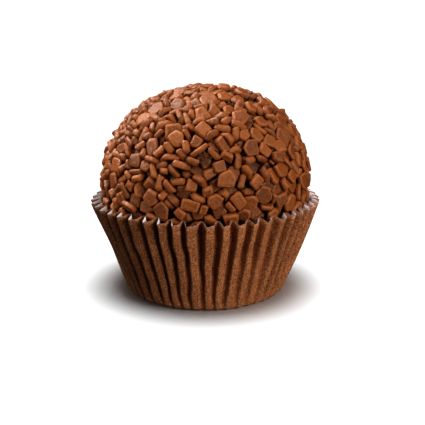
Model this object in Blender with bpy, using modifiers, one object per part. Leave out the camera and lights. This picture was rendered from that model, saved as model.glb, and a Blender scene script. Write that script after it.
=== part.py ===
"""A brigadeiro: a ball of chocolate fudge, coated all over in chocolate flakes, in a fluted paper case.

The frame has +Z up and its origin at the middle of the case's flat foot, which is what the sweet stands on.
Everything is in metres. The case is pressed from a flat disc of paper, so its flutes are exactly as deep
as it takes to use up the disc's spare length, and they deepen from the foot to the rim.
"""

import math

import bmesh
import bpy
from mathutils import Vector, noise

# Driving dimensions.
FOOT_DIAMETER = 0.0250  # the case, where the foot's rounded corner ends
FOOT_CORNER = 0.0010  # radius of the bend between the foot and the wall
RIM_DIAMETER = 0.0351  # over the flutes' crests
RIM_HEIGHT = 0.01395  # of the crests' top edge
FLUTES = 48
PAPER = 0.0002
BALL_DIAMETER = 0.0323  # across, over the flakes
BALL_TOP_HEIGHT = 0.0316  # of the highest flakes, less than a round ball's, as the soft fudge settles
WIDEST_HEIGHT = 0.0164  # where the ball is widest
BALL_FULLNESS = 2.15  # 2 gives a round outline, and more gives fuller shoulders
FLAKE_RELIEF = 0.0005  # how far the lowest flakes lie under the highest
FLAKE_PITCH = 0.0024
FLAKE_SHUFFLE = 7.3  # spreads neighbouring flakes over the noise's cells, so that their chances differ
GAP = 0.0003  # left between the ball and the paper

# How finely the forms are divided.
STEPS_PER_FLUTE = 6
CORNER_STEPS = 2
WALL_STEPS = 3
BALL_STEPS = 16  # along each side of the cube that the ball is blown up from

# The flutes' form.
FLUTE_SKEW = 0.2  # makes the crests broader than the troughs; up to 0.25
FLUTE_TAUTNESS = 0.88  # share of the depth that loose paper would take
FOOT_CREASE = 0.00012  # depth of the flutes where they start, at the foot
TROUGH_FOLD = 1.6 * PAPER  # the wall's thickness in line with the axis where it folds at a trough

FOOT_RADIUS = FOOT_DIAMETER / 2
RIM_RADIUS = RIM_DIAMETER / 2
BALL_RADIUS = BALL_DIAMETER / 2
FLAT_RADIUS = FOOT_RADIUS - FOOT_CORNER


def clear_scene():
    for obj in list(bpy.data.objects):
        bpy.data.objects.remove(obj)


def material(name, colour, roughness):
    """A Principled BSDF of one colour."""
    made = bpy.data.materials.new(name)
    made.use_nodes = True
    shader = made.node_tree.nodes["Principled BSDF"]
    shader.inputs["Base Color"].default_value = (*colour, 1)
    shader.inputs["Roughness"].default_value = roughness
    shader.inputs["Metallic"].default_value = 0
    return made


def node(name, mesh, look, collection):
    """One sub-part: a mesh with its material, shaded smooth between its creases."""
    obj = bpy.data.objects.new(name, mesh)
    mesh.materials.append(look)
    mesh.shade_smooth()
    mesh.set_sharp_from_angle(angle=math.radians(50))
    collection.objects.link(obj)
    return obj


# The paper case


def crest_line():
    """(radius, height, reach) along a crest, from the foot's edge to the rim.

    Reach is the distance along the paper from the edge of the flat foot. The wall leaves the rounded
    corner at a tangent and runs straight to the rim.
    """
    across = RIM_RADIUS - FLAT_RADIUS
    up = RIM_HEIGHT - FOOT_CORNER
    wall_angle = math.atan2(up, across) + math.asin(FOOT_CORNER / math.hypot(across, up))
    bend = wall_angle
    points = []
    for step in range(CORNER_STEPS + 1):
        turned = bend * step / CORNER_STEPS
        radius = FLAT_RADIUS + FOOT_CORNER * math.sin(turned)
        height = FOOT_CORNER * (1 - math.cos(turned))
        points.append((radius, height, FOOT_CORNER * turned))
    start_radius, start_height, start_reach = points[-1]
    length = math.hypot(RIM_RADIUS - start_radius, RIM_HEIGHT - start_height)
    for step in range(1, WALL_STEPS + 1):
        share = step / WALL_STEPS
        radius = start_radius + (RIM_RADIUS - start_radius) * share
        height = start_height + (RIM_HEIGHT - start_height) * share
        points.append((radius, height, start_reach + length * share))
    return points


def flute_depth(radius, reach):
    """Depth from crest to trough that uses up the flat disc's spare length at this reach."""
    spare = max((FLAT_RADIUS + reach) / radius, 1)
    pitch = math.tau * radius / FLUTES
    loose = pitch / 2 * math.sqrt(spare**2 - 1)
    return max(FOOT_CREASE, FLUTE_TAUTNESS * loose)


def inwardness(angle):
    """0 on a crest and 1 in a trough."""
    phase = FLUTES * angle
    wave = math.cos(phase) - FLUTE_SKEW * math.cos(2 * phase) + FLUTE_SKEW
    return (1 - wave) / 2


def case_point(crest, angle):
    """The paper's outer face. Paper doesn't stretch, so a trough leans in and stands a little higher."""
    crest_radius, crest_height, reach = crest
    radius = crest_radius
    height = crest_height
    if reach > 0:
        radius -= flute_depth(crest_radius, reach) * inwardness(angle)
        crest_rise = math.sqrt(max(reach**2 - (crest_radius - FLAT_RADIUS) ** 2, 0))
        height += math.sqrt(max(reach**2 - (radius - FLAT_RADIUS) ** 2, 0)) - crest_rise
    return Vector((radius * math.cos(angle), radius * math.sin(angle), height))


def case_mesh():
    """The foot's disc and the fluted wall as one open surface, facing out."""
    steps = FLUTES * STEPS_PER_FLUTE
    angles = [math.tau * step / steps for step in range(steps)]
    shape = bmesh.new()
    rings = [[shape.verts.new(case_point(crest, angle)) for angle in angles] for crest in crest_line()]
    for lower, upper in zip(rings, rings[1:]):
        for step in range(steps):
            after = (step + 1) % steps
            shape.faces.new((lower[step], lower[after], upper[after], upper[step]))
    shape.faces.new(reversed(rings[0]))
    mesh = bpy.data.meshes.new("paper_case")
    shape.to_mesh(mesh)
    shape.free()
    return mesh


def paper_case(collection):
    paper = material("brown_paper", (0.15, 0.062, 0.028), 0.85)
    case = node("paper_case", case_mesh(), paper, collection)
    thicken = case.modifiers.new("paper thickness", "SOLIDIFY")
    thicken.thickness = PAPER
    thicken.offset = -1
    thicken.use_even_offset = True
    return case


# The coated ball


def room_inside(height):
    """Radius that clears the troughs at this height.

    The ball's faces are flat, so it is held in for the width of one of them above the case's edge too.
    """
    trough = [case_point(crest, math.pi / FLUTES) for crest in crest_line()]
    for lower, upper in zip(trough, trough[1:]):
        if height <= upper.z:
            share = (height - lower.z) / (upper.z - lower.z)
            return lower.lerp(upper, share).xy.length - TROUGH_FOLD
    if height < trough[-1].z + math.pi * BALL_RADIUS / (2 * BALL_STEPS):
        return trough[-1].xy.length - TROUGH_FOLD
    return math.inf


def flake_dip(place):
    """How far the flake over this place of the ball lies under the highest ones: the same all over a flake."""
    _, centres = noise.voronoi(place / FLAKE_PITCH)
    chance = (1 + noise.cell(centres[0] * FLAKE_SHUFFLE)) / 2
    return FLAKE_RELIEF * chance


def ball_reach(direction):
    """From the ball's middle, at its widest height, to the tops of the highest flakes."""
    height = BALL_TOP_HEIGHT - WIDEST_HEIGHT if direction.z > 0 else WIDEST_HEIGHT
    across = direction.xy.length / BALL_RADIUS
    up = abs(direction.z) / height
    return (across**BALL_FULLNESS + up**BALL_FULLNESS) ** (-1 / BALL_FULLNESS)


def ball_point(corner):
    """Where a point of the cube, with sides from -1 to 1, lands on the ball."""
    evened = Vector([math.tan(side * math.pi / 4) for side in corner])
    direction = evened.normalized()
    place = direction * (ball_reach(direction) - flake_dip(direction * BALL_RADIUS))
    place.z = max(place.z + WIDEST_HEIGHT, PAPER + GAP)
    level = Vector((place.x, place.y))
    held_in = room_inside(place.z) - GAP
    if level.length > held_in:
        level *= held_in / level.length
    return Vector((level.x, level.y, place.z))


def ball_mesh():
    """A cube blown up to a sphere, with the flakes' uneven outline and a flat spot where it rests."""
    shape = bmesh.new()
    bmesh.ops.create_cube(shape, size=2)
    bmesh.ops.subdivide_edges(shape, edges=shape.edges[:], cuts=BALL_STEPS - 1, use_grid_fill=True)
    for vert in shape.verts:
        vert.co = ball_point(vert.co)
    mesh = bpy.data.meshes.new("coated_ball")
    shape.to_mesh(mesh)
    shape.free()
    return mesh


def coated_ball(collection):
    chocolate = material("milk_chocolate", (0.28, 0.1, 0.04), 0.4)
    return node("coated_ball", ball_mesh(), chocolate, collection)


def main():
    clear_scene()
    collection = bpy.data.collections.new("brigadeiro")
    bpy.context.scene.collection.children.link(collection)
    paper_case(collection)
    coated_ball(collection)


main()
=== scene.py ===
"""The looks of a brigadeiro in its fluted paper case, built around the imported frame.

The coated ball becomes a core of dark fudge with separate chocolate flakes and crumbs packed round it,
and the case becomes thin fluted paper, brown outside and white inside. Everything is in metres, in the
frame's own axes, unless a comment says otherwise.
"""

import math
from itertools import product

import bmesh
import bpy
import numpy as np
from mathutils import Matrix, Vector, kdtree, noise


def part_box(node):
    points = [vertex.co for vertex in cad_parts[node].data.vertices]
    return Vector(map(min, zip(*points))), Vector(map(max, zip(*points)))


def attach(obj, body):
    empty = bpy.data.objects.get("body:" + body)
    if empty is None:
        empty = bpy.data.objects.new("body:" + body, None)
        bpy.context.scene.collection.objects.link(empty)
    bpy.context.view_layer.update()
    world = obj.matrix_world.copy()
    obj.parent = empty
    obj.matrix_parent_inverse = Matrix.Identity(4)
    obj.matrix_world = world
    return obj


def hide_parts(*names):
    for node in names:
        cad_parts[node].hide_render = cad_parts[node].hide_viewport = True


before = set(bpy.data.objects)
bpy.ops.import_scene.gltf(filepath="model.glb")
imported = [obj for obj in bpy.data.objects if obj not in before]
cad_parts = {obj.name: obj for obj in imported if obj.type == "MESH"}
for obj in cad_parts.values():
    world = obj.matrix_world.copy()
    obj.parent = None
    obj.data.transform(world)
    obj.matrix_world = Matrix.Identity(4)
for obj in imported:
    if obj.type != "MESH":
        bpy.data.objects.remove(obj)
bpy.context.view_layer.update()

SEED = 11
TINY = 1e-9  # keeps a division off zero

# The frame's sizes.
_, CASE_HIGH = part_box("paper_case")
BALL_LOW, BALL_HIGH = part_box("coated_ball")
BALL_RADIUS = (BALL_HIGH.x - BALL_LOW.x + BALL_HIGH.y - BALL_LOW.y) / 4
BALL_CENTRE = Vector((0, 0, 0.0164))  # where the ball is widest
BALL_FULLNESS = 2.15  # 2 gives a round outline, and more gives fuller shoulders
BALL_LEAN = 0.022  # how far it leans to the right for each unit of height above its widest
TOP_SETTLED = 0.00045  # how far the surface that the flakes are packed to lies under the CAD ball's top
RIM_RADIUS = CASE_HIGH.x
TROUGH_TOP = CASE_HIGH.z

# The paper case.
FLUTES = 48
FOOT_RADIUS = 0.0125
FOOT_CORNER = 0.0010  # radius of the bend between the foot and the wall
FLAT_RADIUS = FOOT_RADIUS - FOOT_CORNER
RIM_DROP = 0.00045  # the crests' edge stands this far under the troughs'
PAPER = 0.00009  # its thickness
TAUTNESS = 0.9  # share of the flutes' depth that loose paper would take
FOOT_CREASE = 0.00006  # depth of the flutes where they start, at the foot
WALL_SLANT = 1.08  # the paper's reach up the wall for each unit of height
FOOT_ROOM = 0.0003  # kept clear of the corner beside the foot

# How finely it is divided.
STEPS_PER_FLUTE = 14
WALL_ROWS = 18
CORNER_ROWS = 4
FOOT_ROWS = 3
FIRST_RING = 0.25  # of the flat foot's radius, where the rings round its middle start

# A flute's form across: a broad outer face, a fold in to a narrow bottom, and a slope back out.
BAND = 0.50  # of a flute's width, its broad outer face
BAND_SLANT = 0.36  # of a flute's depth, how far that face leans in from its left edge to its right
FOLD_BEFORE = 0.03  # of a flute's width, where the fold in starts before the band's edge
FOLD_AFTER = 0.09  # and where it ends after it
TROUGH = 0.23  # of a flute's width, the narrow bottom of the fold beside the band
FOLD_START = 0.002  # reach at which the painted shade in a fold is full

# How uneven the hand-pressed flutes are: how much, how far apart its waves are, and their seed.
DRIFT = (0.26, 0.006, 14.6)  # of a flute's width, sideways
WAVER = (0.15, 0.0028, 8.4)  # the same, but finer
LOOSENESS = (0.45, 0.0045, 5.7)  # of a flute's depth
BULGE = (0.00022, 0.007, 1.3)  # of the whole wall, in or out
DRIFT_RISE = 0.4  # how fast the drift changes up the wall, against round it
BULGE_START = 0.004  # reach at which the wall bulges in full

# The flakes' outlines.
FLAKES = 1140
SIDES = {4: 0.46, 5: 0.34, 6: 0.20}  # how many sides a flake has, and how likely that is
FLAKE_REACH = 0.00147  # from a flake's middle to its corners, typically
REACH_SPREAD = 0.15  # how much that differs from flake to flake
REACH_LIMITS = (0.6, 1.06)
CORNER_REACH = (0.87, 1.1)  # how much it differs from corner to corner
CORNER_SHUFFLE = 0.22  # of the turn from one corner to the next
NARROWING = (0.72, 1.0)  # of a flake's length, its width
CORNER_CUT = 0.17  # share of the sides beside a corner that its rounding takes
CORNER_POINTS = 3

# The flakes' thickness and the shape of their edges.
FLAKE_THICKNESS = (0.00070, 0.00100)
BEVEL = (0.45, 0.7)  # of half the thickness
SLANT = 0.25  # of half the thickness, how far one face may stand out while the other stands in
FACE_INSET = 2.4  # bevels, from the outline to where the upper face turns flat
SIDE_INSET = 0.15  # bevels, from the outline to the sides
RING_LIGHTNESS = (0.0, 1.0, 0.7, 0.5, 0.6)  # how much lighter the colour is, ring by ring down a flake's side
FACE_WARP = 0.10  # of half the thickness, how far a face typically tilts and bows
FACE_TWIST = 0.14  # and twists
ROUGHNESS = 0.022  # of half the thickness, how far each point typically stands off

# Where the flakes lie, in depths under the ball's surface.
FLAKE_PROUD = 0.00025  # how far the highest stand over the CAD ball
TOP_SINK = 0.0003  # how far those of the outer layer may lie lower
LOW_SINK = (0.0006, 0.0012)  # and those that fill the places between
LOW_SHARE = 0.36  # of the flakes that don't stand on edge
EDGE_PROUD = 0.0002  # how much further those on edge stand out
ON_EDGE_SHARE = 0.18  # of the flakes away from the steep side
STEEP_SIDE = np.array([-0.46, -0.58, 0.67])  # a unit direction, to the ball's upper front left
STEEP_SHARE = 0.42  # how many more stand on edge there
STEEP_CROWDING = 0.1  # how far the flakes are drawn towards it
DIRECTION_SHUFFLE = 0.14  # of the spacing between evenly spread directions
ON_EDGE_TILT = (math.radians(40), math.radians(80))
LYING_TILT = math.radians(12)  # typically

# Packing them, by beads that fill each flake.
PACKING_ROUNDS = 240
EDGE_BEADS = 10
INNER_RING = 0.45  # of the outer ring's size, for every second bead again
START_SIZE = 0.55  # of their full size
GROWTH = 0.45
GROWING_SHARE = 0.6  # of the rounds
PAIRS_EVERY = 6  # rounds
PAIR_REACH = 2.4  # of the thickest bead's radius
PUSH = 1.2  # of the average push, so that the beads come apart sooner
FLATTENING = 0.10  # how far a round draws a flat flake's beads to one level
LIFT = 0.35  # how far a round takes a flake back to its depth

# The gaps between them.
GAP_DEPTH = (0.0006, 0.0013)  # under the highest flakes, where the painted shade in the gaps begins and is full
CORE_DEPTH = 0.0014  # of the fudge's surface under the flakes' tops
CORE_DIVISIONS = 6
CORE_LUMPS = ((9, 0.00022), (26, 0.0001))  # how close together its lumps are, and how high
CORE_CLEARANCE = 0.0003  # between the fudge and the paper
CRUMBS = 700
CRUMB_REACH = (0.00012, 0.00026)
CRUMB_DEPTH = (0.2, 0.9)  # of the fudge's depth
CRUMB_TRIES = 12  # directions looked in for each crumb
TIGHT_FIT = 0.8  # of the smallest crumb, the room that is enough for it
CRUMB_SQUEEZE = (0.55, 1.1)  # of its reach, along each axis
CRUMB_JOLT = (0.8, 1.15)  # how far each corner of a crumb may stand in or out
CRUMB_POINTS = 12  # of the icosahedron that a crumb starts as
CRUMB_LIGHTNESS = 0.3
# Painted shade on every crumb, as the crumbs lie down in the gaps.
CRUMB_GAP_SHADE = 0.6


# Small helpers


def new_piece(name, mesh, looks):
    """An object that rides on the root body, with its materials."""
    piece = bpy.data.objects.new(name, mesh)
    bpy.context.scene.collection.objects.link(piece)
    for look in looks:
        mesh.materials.append(look)
    mesh.shade_smooth()
    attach(piece, "root")
    return piece


def mesh_of(name, points, faces):
    mesh = bpy.data.meshes.new(name)
    mesh.from_pydata(points, [], faces)
    mesh.update()
    return mesh


def mesh_from(shape, name):
    """A mesh made of the bmesh, which is used up."""
    mesh = bpy.data.meshes.new(name)
    shape.to_mesh(mesh)
    shape.free()
    return mesh


def store(mesh, name, values):
    """Keeps a number for each point of the mesh, for its material."""
    stored = mesh.attributes.new(name, "FLOAT", "POINT")
    stored.data.foreach_set("value", np.asarray(values, np.float32))


def ring_quads(rings, count):
    """Faces between each ring of this many points and the next."""
    quads = []
    for ring in range(rings - 1):
        this, following = ring * count, (ring + 1) * count
        for step in range(count):
            after = (step + 1) % count
            quads.append((this + step, this + after, following + after, following + step))
    return quads


def unit(vectors):
    return vectors / np.linalg.norm(vectors, axis=-1, keepdims=True)


def ball_reach(directions):
    """From the ball's centre to the surface that the flakes are packed to, in these directions."""
    leaning = BALL_LEAN * np.maximum(directions[..., 2], 0)
    across = np.hypot(directions[..., 0] - leaning, directions[..., 1]) / BALL_RADIUS
    height = np.where(directions[..., 2] > 0, BALL_HIGH.z - TOP_SETTLED - BALL_CENTRE.z, BALL_CENTRE.z)
    up = np.abs(directions[..., 2]) / height
    return (across**BALL_FULLNESS + up**BALL_FULLNESS) ** (-1 / BALL_FULLNESS)


# The paper case


def crest_line():
    """(radius, height, reach) along a crest, from near the foot's middle to the rim.

    Reach is the distance along the paper from the edge of the flat foot, and less than 0 on the foot.
    """
    rim_height = TROUGH_TOP - RIM_DROP
    across = RIM_RADIUS - FLAT_RADIUS
    up = rim_height - FOOT_CORNER
    bend = math.atan2(up, across) + math.asin(FOOT_CORNER / math.hypot(across, up))
    line = []
    for row in range(FOOT_ROWS):
        radius = FLAT_RADIUS * (FIRST_RING + (1 - FIRST_RING) * row / FOOT_ROWS)
        line.append((radius, 0.0, radius - FLAT_RADIUS))
    for row in range(CORNER_ROWS + 1):
        turned = bend * row / CORNER_ROWS
        radius = FLAT_RADIUS + FOOT_CORNER * math.sin(turned)
        height = FOOT_CORNER * (1 - math.cos(turned))
        line.append((radius, height, FOOT_CORNER * turned))
    radius, height, reach = line[-1]
    length = math.hypot(RIM_RADIUS - radius, rim_height - height)
    for row in range(1, WALL_ROWS + 1):
        share = row / WALL_ROWS
        wall_radius = radius + (RIM_RADIUS - radius) * share
        wall_height = height + (rim_height - height) * share
        line.append((wall_radius, wall_height, reach + length * share))
    return line


def flute_depth(radius, reach):
    """Depth from crest to trough that uses up the flat disc's spare length at this reach."""
    spare = max((FLAT_RADIUS + reach) / radius, 1)
    half_pitch = math.pi * radius / FLUTES
    return max(FOOT_CREASE, TAUTNESS * half_pitch * math.sqrt(spare**2 - 1))


def smooth_step(value, low, high):
    share = min(max((value - low) / (high - low), 0), 1)
    return share * share * (3 - 2 * share)


def inwardness(turned):
    """0 on a flute's outermost edge and 1 in its trough; turned is the place across it, from 0 to 1."""
    slant = BAND_SLANT * min(turned / BAND, 1)
    fall = smooth_step(turned, BAND - FOLD_BEFORE, BAND + FOLD_AFTER)
    back = smooth_step(turned, BAND + TROUGH, 1.0)
    return (slant + (1 - slant) * fall) * (1 - back)


def wander(angle, height, unevenness):
    """Smooth chance, about 0, over the case's wall."""
    amount, scale, seed = unevenness
    place = Vector((math.cos(angle) * RIM_RADIUS, math.sin(angle) * RIM_RADIUS, height))
    return amount * noise.noise(place / scale + Vector((seed, 0, -seed)))


def paper_point(radius, height, reach, angle):
    """A point of the paper's outer face, and how far into a trough it lies, from 0 to 1, which sets the
    painted shade in the folds.
    """
    if reach < 0:
        return Vector((radius * math.cos(angle), radius * math.sin(angle), height)), 0.0
    turned = FLUTES * angle / math.tau
    turned += wander(angle, height * DRIFT_RISE, DRIFT) + wander(angle, height, WAVER)
    inward = inwardness(turned % 1)
    depth = flute_depth(radius, reach) * (1 + wander(angle, height, LOOSENESS))
    crest_radius = radius
    radius -= depth * inward
    radius += wander(angle, height, BULGE) * min(reach / BULGE_START, 1)
    # Paper doesn't stretch, so where it leans in it stands a little higher.
    rise = math.sqrt(max(reach**2 - (radius - FLAT_RADIUS) ** 2, 0))
    rise -= math.sqrt(max(reach**2 - (crest_radius - FLAT_RADIUS) ** 2, 0))
    place = Vector((radius * math.cos(angle), radius * math.sin(angle), height + rise))
    return place, inward * min(reach / FOLD_START, 1)


def paper_mesh():
    """The paper's outer face, with how far each point lies into a trough, for the painted shade in the folds.
    """
    line = crest_line()
    steps = FLUTES * STEPS_PER_FLUTE
    made = [paper_point(*stop, math.tau * step / steps) for stop in line for step in range(steps)]
    points = [place for place, _ in made] + [Vector((0, 0, 0))]
    inward = [share for _, share in made] + [0.0]
    middle = len(points) - 1
    faces = ring_quads(len(line), steps)
    faces += [(step, middle, (step + 1) % steps) for step in range(steps)]
    mesh = mesh_of("fluted_paper", points, faces)
    store(mesh, "inward", inward)
    return mesh


def apply_modifiers(piece):
    """Bakes the piece's modifiers into its mesh."""
    bpy.context.view_layer.update()
    evaluated = piece.evaluated_get(bpy.context.evaluated_depsgraph_get())
    mesh = bpy.data.meshes.new_from_object(evaluated)
    old = piece.data
    piece.modifiers.clear()
    piece.data = mesh
    mesh.name = old.name
    bpy.data.meshes.remove(old)


def build_case():
    looks = [paper_look("paper_brown"), paper_look("paper_white"), paper_look("paper_edge")]
    case = new_piece("fluted_paper", paper_mesh(), looks)
    thicken = case.modifiers.new("thickness", "SOLIDIFY")
    thicken.thickness = PAPER
    thicken.offset = -1
    thicken.material_offset = looks.index(bpy.data.materials["paper_white"])
    thicken.material_offset_rim = looks.index(bpy.data.materials["paper_edge"])
    apply_modifiers(case)
    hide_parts("paper_case")


# The flakes' outlines


def flake_corners(chance):
    """The corners of one flake's outline, about its middle, the longer way along X."""
    sides = chance.choice(list(SIDES), p=list(SIDES.values()))
    shuffle = chance.uniform(-CORNER_SHUFFLE, CORNER_SHUFFLE, sides)
    angle = (np.arange(sides) + 0.5 + shuffle) * math.tau / sides
    reach = FLAKE_REACH * np.clip(chance.lognormal(0, REACH_SPREAD), *REACH_LIMITS)
    reach = reach * chance.uniform(*CORNER_REACH, sides)
    narrow = chance.uniform(*NARROWING)
    return np.stack([reach * np.cos(angle), reach * np.sin(angle) * narrow], 1)


def rounded(corners):
    """The outline with each corner rounded off."""
    before = corners + (np.roll(corners, 1, 0) - corners) * CORNER_CUT
    after = corners + (np.roll(corners, -1, 0) - corners) * CORNER_CUT
    share = np.linspace(0, 1, CORNER_POINTS)[None, :, None]
    arcs = (1 - share) ** 2 * before[:, None]
    arcs = arcs + 2 * share * (1 - share) * corners[:, None]
    arcs = arcs + share**2 * after[:, None]
    return arcs.reshape(-1, 2)


def inset(outline, distance):
    """The outline drawn in towards its middle by about this distance."""
    middle = outline.mean(0)
    out = outline - middle
    return middle + out * (1 - distance / np.linalg.norm(out, axis=1, keepdims=True))


def beads_in(outline, half):
    """Centres of balls, as thick as the flake, that fill its outline. The flakes are packed by these."""
    ring = inset(outline, half)
    closed = np.vstack([ring, ring[:1]])
    along = np.concatenate([[0], np.cumsum(np.linalg.norm(np.diff(closed, axis=0), axis=1))])
    wanted = np.linspace(0, along[-1], EDGE_BEADS, endpoint=False)
    ring = np.stack([np.interp(wanted, along, closed[:, axis]) for axis in (0, 1)], 1)
    middle = ring.mean(0)
    inner = middle + (ring[::2] - middle) * INNER_RING
    flat = np.vstack([ring, inner, middle])
    return np.column_stack([flat, np.zeros(len(flat))])


# Where the flakes start


def spread_directions(count, chance):
    """Directions spread evenly over a sphere, from its top down, then shuffled a little."""
    rank = np.arange(count) + 0.5
    up = 1 - 2 * rank / count
    turn = rank * math.pi * (3 - math.sqrt(5))
    across = np.sqrt(1 - up**2)
    even = np.stack([across * np.cos(turn), across * np.sin(turn), up], 1)
    spacing = math.sqrt(4 * math.pi / count)
    return unit(even + chance.normal(0, DIRECTION_SHUFFLE * spacing, even.shape))


def starting_places(chance):
    """Directions for the flakes, whether each stands on edge, and its depth under the ball's surface."""
    direction = spread_directions(FLAKES, chance)
    steep = np.clip(direction @ STEEP_SIDE, 0, 1)
    direction = unit(direction + STEEP_CROWDING * steep[:, None] * STEEP_SIDE)
    on_edge = chance.random(FLAKES) < ON_EDGE_SHARE + STEEP_SHARE * steep
    low = (chance.random(FLAKES) < LOW_SHARE) & ~on_edge
    low_sink = chance.uniform(*LOW_SINK, FLAKES)
    top_sink = chance.uniform(0, TOP_SINK, FLAKES)
    sink = np.where(low, low_sink, top_sink) - FLAKE_PROUD
    sink -= on_edge * EDGE_PROUD
    return direction, on_edge, sink


def starting_tilts(on_edge, chance):
    """How far each flake is tilted from lying flat."""
    upright = chance.uniform(*ON_EDGE_TILT, FLAKES)
    lying = np.abs(chance.normal(0, LYING_TILT, FLAKES))
    return np.where(on_edge, upright, lying)


def starting_turns(direction, on_edge, tilt, chance):
    """Rotations that lay each flake flat on the ball, then tilt it about a chance line.

    Those on edge stand on a long side, as they would topple off a corner.
    """
    side = unit(np.cross(direction, chance.normal(size=direction.shape)))
    normal = direction * np.cos(tilt)[:, None] + side * np.sin(tilt)[:, None]
    any_way = unit(np.cross(chance.normal(size=direction.shape), normal))
    long_way = np.cross(direction, side)
    first = np.where(on_edge[:, None], long_way, any_way)
    return np.stack([first, np.cross(normal, first), normal], 2)


# Packing the flakes round the ball


def near_pairs(points, reach):
    """Every pair of points nearer than reach, and some that are further apart."""
    cell = np.floor(points / reach).astype(np.int64)
    cell -= cell.min(0) - 1
    size = cell.max(0) + 2
    key = (cell[:, 0] * size[1] + cell[:, 1]) * size[2] + cell[:, 2]
    order = np.argsort(key, kind="stable")
    key = key[order]
    rank = np.arange(len(key))
    first = []
    second = []
    for x, y, z in product((-1, 0, 1), repeat=3):
        # The cells before this one have had their pairs with it already.
        if (x, y, z) < (0, 0, 0):
            continue
        shift = (x * size[1] + y) * size[2] + z
        low = np.searchsorted(key, key + shift, "left") if shift else rank + 1
        count = np.searchsorted(key, key + shift, "right") - low
        first.append(np.repeat(rank, count))
        second.append(np.repeat(low - (np.cumsum(count) - count), count) + np.arange(count.sum()))
    return order[np.concatenate(first)], order[np.concatenate(second)]


def neighbours(points, owner, reach):
    """The pairs of beads near each other that belong to different flakes."""
    one, other = near_pairs(points, reach)
    apart = owner[one] != owner[other]
    return one[apart], other[apart]


def pushed_apart(points, thick, pairs):
    """The beads, pushed out of those of other flakes that they lie in."""
    one, other = pairs
    gap = points[one] - points[other]
    distance = np.linalg.norm(gap, axis=1)
    wanted = thick[one] + thick[other]
    close = distance < wanted
    here, there = one[close], other[close]
    push = gap[close] * ((wanted - distance)[close] / np.maximum(distance[close], TINY) / 2)[:, None]
    count = len(points)
    moved = np.stack([np.bincount(here, push[:, axis], count) for axis in range(3)], 1)
    moved -= np.stack([np.bincount(there, push[:, axis], count) for axis in range(3)], 1)
    touching = np.bincount(here, minlength=count) + np.bincount(there, minlength=count)
    return points + PUSH * moved / np.maximum(touching, 1)[:, None]


def wall_room(height):
    """About the radius of the clear space inside the troughs at these heights.

    The flutes' unevenness isn't in it, so a flake or two can reach into the paper.
    """
    top_radius = RIM_RADIUS - flute_depth(RIM_RADIUS, TROUGH_TOP * WALL_SLANT)
    share = np.clip((height - FOOT_CORNER) / (TROUGH_TOP - FOOT_CORNER), 0, 1)
    return FOOT_RADIUS - FOOT_ROOM + (top_radius - FOOT_RADIUS) * share - 2 * PAPER


def held_in_case(points, thick):
    """The points, from the ball's centre, pushed in from the troughs and up off the foot."""
    points = points.copy()
    height = points[:, 2] + BALL_CENTRE.z
    points[:, 2] += np.maximum(PAPER * 2 + thick - height, 0)
    out = np.hypot(points[:, 0], points[:, 1])
    room = wall_room(height) - thick
    squeeze = np.where((height < TROUGH_TOP) & (out > room), room / np.maximum(out, TINY), 1)
    points[:, :2] *= squeeze[:, None]
    return points


def growth(step):
    """The flakes' size in this round, as a share of their full size."""
    return min(1, START_SIZE + GROWTH * step / (PACKING_ROUNDS * GROWING_SHARE))


def levelled(beads, level, flattening):
    """The beads drawn to one level over the ball's centre, which keeps a flat flake flat."""
    height = np.linalg.norm(beads, axis=2, keepdims=True)
    return beads + beads / height * (level[:, None, None] - height) * flattening[:, None, None]


def best_turn(moved, rest):
    """The rotation that best takes each rest shape to its moved one."""
    left, _, right = np.linalg.svd(np.einsum("nki,nkj->nij", moved, rest))
    left[:, :, 2] *= np.linalg.det(left @ right)[:, None]
    return left @ right


def stiffened(beads, rest, grown):
    """The beads put back into their flakes' own shapes, with each flake's rotation and middle."""
    middle = beads.mean(1)
    turn = best_turn(beads - middle[:, None], rest)
    return np.einsum("nij,nkj->nki", turn, rest * grown) + middle[:, None], turn, middle


def packed_beads(beads, rest, half, sink, flattening):
    """The beads after packing, with each flake's rotation and middle.

    The flakes start small and grow. They push each other round the ball, and keep their outermost point
    near its surface, as if it were rolled between the hands. Their corners still lie in each other at the
    end, by up to about 0.4 mm.
    """
    owner = np.repeat(np.arange(len(rest)), rest.shape[1])
    thick = half[owner]
    for step in range(PACKING_ROUNDS):
        grown = growth(step)
        points = beads.reshape(-1, 3)
        if step % PAIRS_EVERY == 0:
            pairs = neighbours(points, owner, PAIR_REACH * half.max())
        points = held_in_case(pushed_apart(points, thick * grown, pairs), thick * grown)
        beads = points.reshape(rest.shape)
        top = ball_reach(unit(beads.mean(1))) - sink
        beads, turn, middle = stiffened(levelled(beads, top - half, flattening), rest, grown)
        highest = np.linalg.norm(beads, axis=2).max(1) + half * grown
        lift = unit(middle) * (LIFT * (top - highest))[:, None]
        middle = middle + lift
        beads = beads + lift[:, None]
    return beads, turn, middle


def packed_flakes(chance):
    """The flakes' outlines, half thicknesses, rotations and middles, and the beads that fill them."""
    direction, on_edge, sink = starting_places(chance)
    half = chance.uniform(*FLAKE_THICKNESS, FLAKES) / 2
    outlines = [rounded(flake_corners(chance)) for _ in range(FLAKES)]
    rest = np.stack([beads_in(outline, thick) for outline, thick in zip(outlines, half)])
    offset = rest.mean(1)
    rest -= offset[:, None]
    turn = starting_turns(direction, on_edge, starting_tilts(on_edge, chance), chance)
    beads = np.einsum("nij,nkj->nki", turn, rest)
    beads += (direction * (ball_reach(direction) - sink - half)[:, None])[:, None]
    flattening = np.where(on_edge, 0.0, FLATTENING)
    beads, turn, middle = packed_beads(beads, rest, half, sink, flattening)
    middle = middle - np.einsum("nij,nj->ni", turn, offset)
    return (outlines, half, turn, middle), beads.reshape(-1, 3)


# The flakes' mesh


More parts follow.
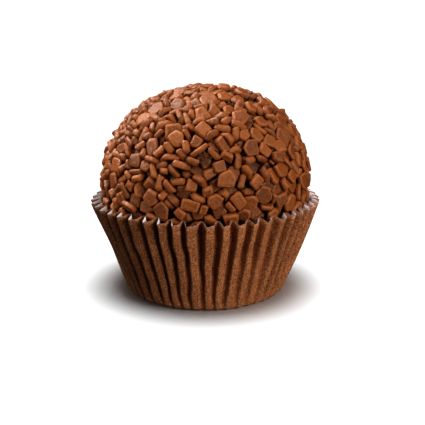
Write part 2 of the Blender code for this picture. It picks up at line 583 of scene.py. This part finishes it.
def flake_rings(outline, half, chance):
    """The flake's outline at each level down its side, as (points, height)."""
    bevel = half * chance.uniform(*BEVEL)
    slant = half * chance.uniform(-SLANT, SLANT)
    return [
        (inset(outline, bevel * FACE_INSET), half),
        (inset(outline, bevel - slant), half),
        (inset(outline, -slant + bevel * SIDE_INSET), half - bevel),
        (inset(outline, slant + bevel * SIDE_INSET), bevel - half),
        (inset(outline, bevel + slant), -half),
    ]


def warped(points, half, chance):
    """The flake's points with its faces slightly tilted, bowed, twisted and rough."""
    across, along = (points[:, :2] / FLAKE_REACH).T
    points[:, 2] += half * (
        chance.normal(0, FACE_WARP) * across
        + chance.normal(0, FACE_WARP) * along
        + chance.normal(0, FACE_WARP) * across**2
        + chance.normal(0, FACE_WARP) * along**2
        + chance.normal(0, FACE_TWIST) * across * along
    )
    return points + chance.normal(0, ROUGHNESS * half, points.shape)


def flake_faces(count):
    """Faces of a flake whose rings have this many points, with its two middles after the rings."""
    rings = len(RING_LIGHTNESS)
    top = rings * count
    bottom = top + 1
    last = (rings - 1) * count
    faces = [(one, four, three, two) for one, two, three, four in ring_quads(rings, count)]
    faces += [(step, (step + 1) % count, top) for step in range(count)]
    faces += [(last + (step + 1) % count, last + step, bottom) for step in range(count)]
    return faces


def flake_shape(outline, half, chance):
    """Points, faces and edge lightness of one flake lying flat, with soft edges and slightly uneven faces."""
    rings = flake_rings(outline, half, chance)
    points = [np.column_stack([ring, np.full(len(ring), level)]) for ring, level in rings]
    middle = outline.mean(0)
    points.append(np.array([[*middle, half], [*middle, -half]]))
    worn = np.concatenate([np.repeat(RING_LIGHTNESS, len(outline)), np.zeros(2)])
    return warped(np.vstack(points), half, chance), flake_faces(len(outline)), worn


def depth_share(places):
    """0 near the flakes' tops and 1 down in the gaps between them, for the painted shade there; places are
    from the ball's centre.
    """
    depth = ball_reach(unit(places)) + FLAKE_PROUD - np.linalg.norm(places, axis=1)
    return np.clip((depth - GAP_DEPTH[0]) / (GAP_DEPTH[1] - GAP_DEPTH[0]), 0, 1)


def build_flakes(packing, chance):
    points = []
    faces = []
    shares = {"worn": [], "tone": [], "deep": []}
    start = 0
    for outline, half, turn, middle in zip(*packing):
        shape, own_faces, worn = flake_shape(outline, half, chance)
        placed = shape @ turn.T + middle
        points.append(placed + np.array(BALL_CENTRE))
        faces += [tuple(start + corner for corner in face) for face in own_faces]
        shares["worn"].append(worn)
        shares["tone"].append(np.full(len(shape), chance.random()))
        shares["deep"].append(depth_share(placed))
        start += len(shape)
    mesh = mesh_of("chocolate_flakes", np.vstack(points).tolist(), faces)
    for name, values in shares.items():
        store(mesh, name, np.concatenate(values))
    flakes = new_piece("chocolate_flakes", mesh, [chocolate_look()])
    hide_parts("coated_ball")


# The fudge and the crumbs on it


def gap_places(beads, chance):
    """Places between the flakes, from the ball's centre, and how much room each has.

    The first ones found are kept. They are found from the top down, so they all lie on the ball's upper part.
    """
    tree = kdtree.KDTree(len(beads))
    for rank, bead in enumerate(beads):
        tree.insert(bead, rank)
    tree.balance()
    places = []
    for direction in spread_directions(CRUMBS * CRUMB_TRIES, chance):
        place = direction * (ball_reach(direction) - chance.uniform(*CRUMB_DEPTH) * CORE_DEPTH)
        _, _, clear = tree.find(place)
        room = clear - FLAKE_THICKNESS[0] / 2
        if room > CRUMB_REACH[0] * TIGHT_FIT:
            places.append((Vector(place), min(room, CRUMB_REACH[1])))
    return places[:CRUMBS]


def build_crumbs(beads, chance):
    """Small broken bits of flake that stick in the gaps."""
    shape = bmesh.new()
    for place, reach in gap_places(beads, chance):
        crumb = bmesh.ops.create_icosphere(shape, subdivisions=1, radius=reach)["verts"]
        squeeze = chance.uniform(*CRUMB_SQUEEZE, 3)
        for vert in crumb:
            jolt = chance.uniform(*CRUMB_JOLT)
            bent = [side * share * jolt for side, share in zip(vert.co, squeeze)]
            vert.co = BALL_CENTRE + place + Vector(bent)
    mesh = mesh_from(shape, "chocolate_crumbs")
    count = len(mesh.vertices)
    store(mesh, "worn", np.full(count, CRUMB_LIGHTNESS))
    store(mesh, "tone", np.repeat(chance.random(count // CRUMB_POINTS), CRUMB_POINTS))
    # The crumbs take the painted shade of the gaps.
    store(mesh, "deep", np.full(count, CRUMB_GAP_SHADE))
    look = bpy.data.materials["milk_chocolate_flake"]
    crumbs = new_piece("chocolate_crumbs", mesh, [look])
    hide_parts("coated_ball")


def build_core():
    """The fudge under the flakes: a lumpy ball that shows in the gaps."""
    shape = bmesh.new()
    bmesh.ops.create_icosphere(shape, subdivisions=CORE_DIVISIONS, radius=1)
    for vert in shape.verts:
        direction = vert.co.normalized()
        lump = sum(noise.noise(direction * often) * high for often, high in CORE_LUMPS)
        place = direction * (ball_reach(np.array(direction)) - CORE_DEPTH + lump)
        held = held_in_case(np.array([place]), np.array([CORE_CLEARANCE]))[0]
        vert.co = BALL_CENTRE + Vector(held)
    core = new_piece("fudge_core", mesh_from(shape, "fudge_core"), [fudge_look()])
    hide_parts("coated_ball")


# Building materials


def shader_of(name):
    """A new material, with its node tree and its Principled shader."""
    look = bpy.data.materials.new(name)
    look.use_nodes = True
    return look, look.node_tree, look.node_tree.nodes["Principled BSDF"]


def noise_node(tree, scale, detail=4.0, roughness=0.6):
    made = tree.nodes.new("ShaderNodeTexNoise")
    made.inputs["Scale"].default_value = scale
    made.inputs["Detail"].default_value = detail
    made.inputs["Roughness"].default_value = roughness
    where = tree.nodes.new("ShaderNodeTexCoord")
    tree.links.new(where.outputs["Object"], made.inputs["Vector"])
    return made.outputs["Fac"]


def ramp(tree, source, stops):
    """Colours by the source's value; stops is [(value, colour), ...]."""
    made = tree.nodes.new("ShaderNodeValToRGB")
    tree.links.new(source, made.inputs["Fac"])
    elements = made.color_ramp.elements
    while len(elements) < len(stops):
        elements.new(0.5)
    for element, (value, colour) in zip(elements, stops):
        element.position = value
        element.color = (*colour, 1)
    return made.outputs["Color"]


def mapped(tree, source, low, high, to_low, to_high):
    """The source's value, with low to high mapped to to_low to to_high and held there beyond them."""
    made = tree.nodes.new("ShaderNodeMapRange")
    tree.links.new(source, made.inputs["Value"])
    for socket, value in zip(("From Min", "From Max", "To Min", "To Max"), (low, high, to_low, to_high)):
        made.inputs[socket].default_value = value
    return made.outputs["Result"]


def mixed(tree, kind, share, one, other):
    """Two colours mixed, by an output's value; each colour is an output or a tuple."""
    made = tree.nodes.new("ShaderNodeMix")
    made.data_type = "RGBA"
    made.blend_type = kind
    made.clamp_factor = True
    tree.links.new(share, made.inputs["Factor"])
    for socket, colour in (("A", one), ("B", other)):
        target = next(s for s in made.inputs if s.name == socket and s.type == "RGBA")
        if isinstance(colour, tuple):
            target.default_value = (*colour, 1)
        else:
            tree.links.new(colour, target)
    return next(s for s in made.outputs if s.type == "RGBA")


def scaled_sum(tree, one, scale, other):
    """One output's value times the scale, plus another's."""
    made = tree.nodes.new("ShaderNodeMath")
    made.operation = "MULTIPLY_ADD"
    tree.links.new(one, made.inputs[0])
    made.inputs[1].default_value = scale
    tree.links.new(other, made.inputs[2])
    return made.outputs["Value"]


def bump(tree, shader, height, distance, strength):
    made = tree.nodes.new("ShaderNodeBump")
    made.inputs["Distance"].default_value = distance
    made.inputs["Strength"].default_value = strength
    tree.links.new(height, made.inputs["Height"])
    tree.links.new(made.outputs["Normal"], shader.inputs["Normal"])


def attribute(tree, name):
    """The number stored for each point under this name."""
    made = tree.nodes.new("ShaderNodeAttribute")
    made.attribute_name = name
    return made.outputs["Fac"]


# The materials themselves

PAPER_COLOURS = {
    "paper_brown": [
        (0.36, (0.155, 0.047, 0.013)),
        (0.5, (0.290, 0.098, 0.031)),
        (0.64, (0.47, 0.210, 0.096)),
    ],
    "paper_white": [(0.3, (0.62, 0.53, 0.52)), (0.5, (0.78, 0.69, 0.69)), (0.7, (0.88, 0.81, 0.81))],
    "paper_edge": [(0.3, (0.10, 0.05, 0.03)), (0.5, (0.22, 0.12, 0.08)), (0.7, (0.45, 0.32, 0.26))],
}
PAPER_CLOUDS = (0.74, 0.72, 0.70)  # what its darker patches are multiplied by
PAPER_FOLD_SHADE = (0.72, 0.58, 0.44)  # painted shade: what the brown down in its folds is multiplied by

CHOCOLATE_COLOURS = [
    (0.0, (0.128, 0.031, 0.0046)),
    (0.5, (0.180, 0.0465, 0.007)),
    (1.0, (0.236, 0.066, 0.0105)),
]
CHOCOLATE_MOTTLE = (0.72, 0.66, 0.60)  # what its darker patches are multiplied by
CHOCOLATE_EDGES = (0.36, 0.113, 0.034)  # half of what shows on the lighter edges
CHOCOLATE_GAP_SHADE = (0.34, 0.27, 0.22)  # painted shade: what it is multiplied by down in the gaps
CHOCOLATE_SHEEN = (1.0, 0.80, 0.60)
CHOCOLATE_GLOW = (1.0, 0.4, 0.2)  # how far each colour travels under the surface, against red

FUDGE_COLOURS = [
    (0.3, (0.008, 0.003, 0.001)),
    (0.55, (0.018, 0.006, 0.002)),
    (0.8, (0.040, 0.014, 0.006)),
]

FLOOR_COLOUR = (0.89, 0.90, 0.902)


def paper_look(name):
    """Paper with a fine grain and cloudy patches, and painted shade that darkens the brown down in the folds.
    """
    look, tree, shader = shader_of(name)
    grain = noise_node(tree, scale=5200, detail=2, roughness=0.55)
    colour = ramp(tree, grain, PAPER_COLOURS[name])
    cloud = mapped(tree, noise_node(tree, scale=330, detail=3), 0.3, 0.7, 0.0, 1.0)
    colour = mixed(tree, "MULTIPLY", cloud, colour, PAPER_CLOUDS)
    if name == "paper_brown":
        # Painted shade: the brown is darker down in the folds, where shade falls.
        fold_shade = mapped(tree, attribute(tree, "inward"), 0.25, 0.95, 0.0, 1.0)
        colour = mixed(tree, "MULTIPLY", fold_shade, colour, PAPER_FOLD_SHADE)
    tree.links.new(colour, shader.inputs["Base Color"])
    tree.links.new(mapped(tree, grain, 0.3, 0.7, 0.48, 0.72), shader.inputs["Roughness"])
    shader.inputs["Specular IOR Level"].default_value = 0.25
    bump(tree, shader, grain, distance=0.00003, strength=0.7)
    return look


def chocolate_look():
    """Each flake's own brown, mottled, lighter on its edges, and with painted shade down in the gaps."""
    look, tree, shader = shader_of("milk_chocolate_flake")
    colour = ramp(tree, attribute(tree, "tone"), CHOCOLATE_COLOURS)
    mottle = mapped(tree, noise_node(tree, scale=1300, detail=5, roughness=0.7), 0.35, 0.68, 0.0, 1.0)
    colour = mixed(tree, "MULTIPLY", mottle, colour, CHOCOLATE_MOTTLE)
    # Lighter towards the edges, most on the upper one.
    worn = mapped(tree, attribute(tree, "worn"), 0.4, 1.0, 0.0, 0.5)
    colour = mixed(tree, "MIX", worn, colour, CHOCOLATE_EDGES)
    # Painted shade: darker down in the gaps between the flakes, where shade falls.
    colour = mixed(tree, "MULTIPLY", attribute(tree, "deep"), colour, CHOCOLATE_GAP_SHADE)
    tree.links.new(colour, shader.inputs["Base Color"])
    fine = noise_node(tree, scale=3600, detail=3)
    tree.links.new(mapped(tree, fine, 0.3, 0.7, 0.36, 0.56), shader.inputs["Roughness"])
    shader.inputs["Specular IOR Level"].default_value = 0.35
    shader.inputs["Specular Tint"].default_value = (*CHOCOLATE_SHEEN, 1)
    shader.inputs["Subsurface Weight"].default_value = 0.08
    shader.inputs["Subsurface Radius"].default_value = CHOCOLATE_GLOW
    shader.inputs["Subsurface Scale"].default_value = 0.0004
    dents = noise_node(tree, scale=1300, detail=4, roughness=0.7)
    bump(tree, shader, scaled_sum(tree, dents, 3.0, fine), distance=0.00009, strength=0.9)
    return look


def fudge_look():
    """Dark sticky fudge."""
    look, tree, shader = shader_of("dark_fudge")
    lumps = noise_node(tree, scale=1500)
    tree.links.new(ramp(tree, lumps, FUDGE_COLOURS), shader.inputs["Base Color"])
    tree.links.new(mapped(tree, lumps, 0.3, 0.7, 0.22, 0.45), shader.inputs["Roughness"])
    shader.inputs["Specular IOR Level"].default_value = 0.2
    bump(tree, shader, lumps, distance=0.00022, strength=0.9)
    return look


# Floor, lights and camera

FLOOR_REACH = 2.0
FLOOR_DROP = 0.00002  # keeps it off the foot's underside

PAPER_PIECES = ("fluted_paper",)
CHOCOLATE_PIECES = ("chocolate_flakes", "chocolate_crumbs", "fudge_core")
SWEET_PIECES = PAPER_PIECES + CHOCOLATE_PIECES

# Strength, how wide it looks, its tilt towards the front, and what it lights. Angles are in degrees.
OVERHEAD_LIGHTS = {
    "over_floor": (3.5, 35, 1, ("floor",)),
    "over_sweet": (2.0, 36, -3, SWEET_PIECES),
}

# Azimuth, elevation, distance, side, power in watts, and what it lights, or None where that is everything.
# Azimuth 0 is in front, and 90 to the right. Angles are in degrees.
SOFT_LIGHTS = {
    "fill": (60, 26, 0.35, 0.16, 0.22, None),
    "front": (42, 12, 0.35, 0.18, 1.08, SWEET_PIECES),
    "left": (-62, 16, 0.35, 0.14, 0.80, CHOCOLATE_PIECES),
    "left_of_case": (-100, 16, 0.35, 0.16, 0.32, PAPER_PIECES),
    "back_of_case": (170, 12, 0.35, 0.18, 0.52, PAPER_PIECES),
    "gloss": (-124, 46, 0.30, 0.08, 1.4, CHOCOLATE_PIECES),
}
ROOM_LIGHT = 0.06  # what the dim studio round the sweet gives it
BACKDROP = 1.05  # how bright the white backdrop looks to the camera

CAMERA_DISTANCE = 0.1188
CAMERA_ELEVATION = math.radians(13)
CAMERA_TARGET = Vector((0, 0, 0.01543))
CAMERA_SHIFT = (0.016, -0.0586)  # of the picture's width, for the photograph's framing
CAMERA_CLIP = (0.005, 10)
VIEW_WIDTH = 0.0656  # what the picture's width takes in at the sweet's axis
SENSOR = 36.0  # millimetres, as the lens is


def build_floor():
    corners = [
        (-FLOOR_REACH, -FLOOR_REACH, 0),
        (FLOOR_REACH, -FLOOR_REACH, 0),
        (FLOOR_REACH, FLOOR_REACH, 0),
        (-FLOOR_REACH, FLOOR_REACH, 0),
    ]
    floor = bpy.data.objects.new("floor", mesh_of("floor", corners, [(0, 1, 2, 3)]))
    floor.location.z = -FLOOR_DROP
    bpy.context.scene.collection.objects.link(floor)
    look, _, shader = shader_of("white_floor")
    shader.inputs["Base Color"].default_value = (*FLOOR_COLOUR, 1)
    shader.inputs["Roughness"].default_value = 0.9
    shader.inputs["Specular IOR Level"].default_value = 0.0
    floor.data.materials.append(look)
    floor.visible_diffuse = False
    floor.visible_glossy = False


def new_lamp(name, kind, power):
    """A lamp of this kind, and the object that holds it."""
    lamp = bpy.data.lights.new(name, kind)
    lamp.energy = power
    holder = bpy.data.objects.new(name, lamp)
    bpy.context.scene.collection.objects.link(holder)
    return lamp, holder


def aimed(holder, target, way, distance):
    """Puts the holder this far from the target, that way, and turns it to look at it."""
    holder.location = target + way * distance
    holder.rotation_euler = (-way).to_track_quat("-Z", "Y").to_euler()


def soft_light(name, azimuth, elevation, distance, side, power):
    """A square lamp that looks at the ball."""
    lamp, holder = new_lamp(name, "AREA", power)
    lamp.shape = "SQUARE"
    lamp.size = side
    flat, up = math.radians(azimuth), math.radians(elevation)
    way = Vector((math.sin(flat) * math.cos(up), -math.cos(flat) * math.cos(up), math.sin(up)))
    aimed(holder, BALL_CENTRE, way, distance)
    return holder


def overhead_light(name, strength, spread, tilt):
    """A wide softbox overhead, so large that it lights evenly."""
    lamp, holder = new_lamp(name, "SUN", strength)
    lamp.angle = math.radians(spread)
    holder.rotation_euler = (math.radians(tilt), 0, 0)
    return holder


def keep_light_on(lamp, names):
    """The lamp lights these pieces only."""
    group = bpy.data.collections.new(lamp.name)
    for name in names:
        group.objects.link(bpy.data.objects[name])
    lamp.light_linking.receiver_collection = group


def build_lights():
    """Plain soft studio light, with most lamps kept on the chocolate, the paper or the floor."""
    for name, (*form, lit) in OVERHEAD_LIGHTS.items():
        keep_light_on(overhead_light(name, *form), lit)
    for name, (*form, lit) in SOFT_LIGHTS.items():
        lamp = soft_light(name, *form)
        if lit:
            keep_light_on(lamp, lit)


def build_world():
    """A studio that is dim round the sweet, with a white backdrop."""
    world = bpy.data.worlds.new("studio")
    bpy.context.scene.world = world
    world.use_nodes = True
    tree = world.node_tree
    background = tree.nodes["Background"]
    background.inputs["Color"].default_value = (1, 1, 1, 1)
    seen = tree.nodes.new("ShaderNodeLightPath").outputs["Is Camera Ray"]
    tree.links.new(mapped(tree, seen, 0, 1, ROOM_LIGHT, BACKDROP), background.inputs["Strength"])


def build_camera():
    camera = bpy.data.cameras.new("camera")
    camera.sensor_width = SENSOR
    camera.lens = SENSOR * CAMERA_DISTANCE / VIEW_WIDTH
    camera.shift_x, camera.shift_y = CAMERA_SHIFT
    camera.clip_start, camera.clip_end = CAMERA_CLIP
    holder = bpy.data.objects.new("camera", camera)
    bpy.context.scene.collection.objects.link(holder)
    way = Vector((0, -math.cos(CAMERA_ELEVATION), math.sin(CAMERA_ELEVATION)))
    aimed(holder, CAMERA_TARGET, way, CAMERA_DISTANCE)
    bpy.context.scene.camera = holder


def build():
    chance = np.random.default_rng(SEED)
    build_case()
    build_core()
    packing, beads = packed_flakes(chance)
    build_flakes(packing, chance)
    build_crumbs(beads, chance)
    build_floor()
    build_lights()
    build_world()
    build_camera()
    bpy.context.scene.view_settings.view_transform = "Standard"
    bpy.context.scene.view_settings.look = "Medium High Contrast"


build()
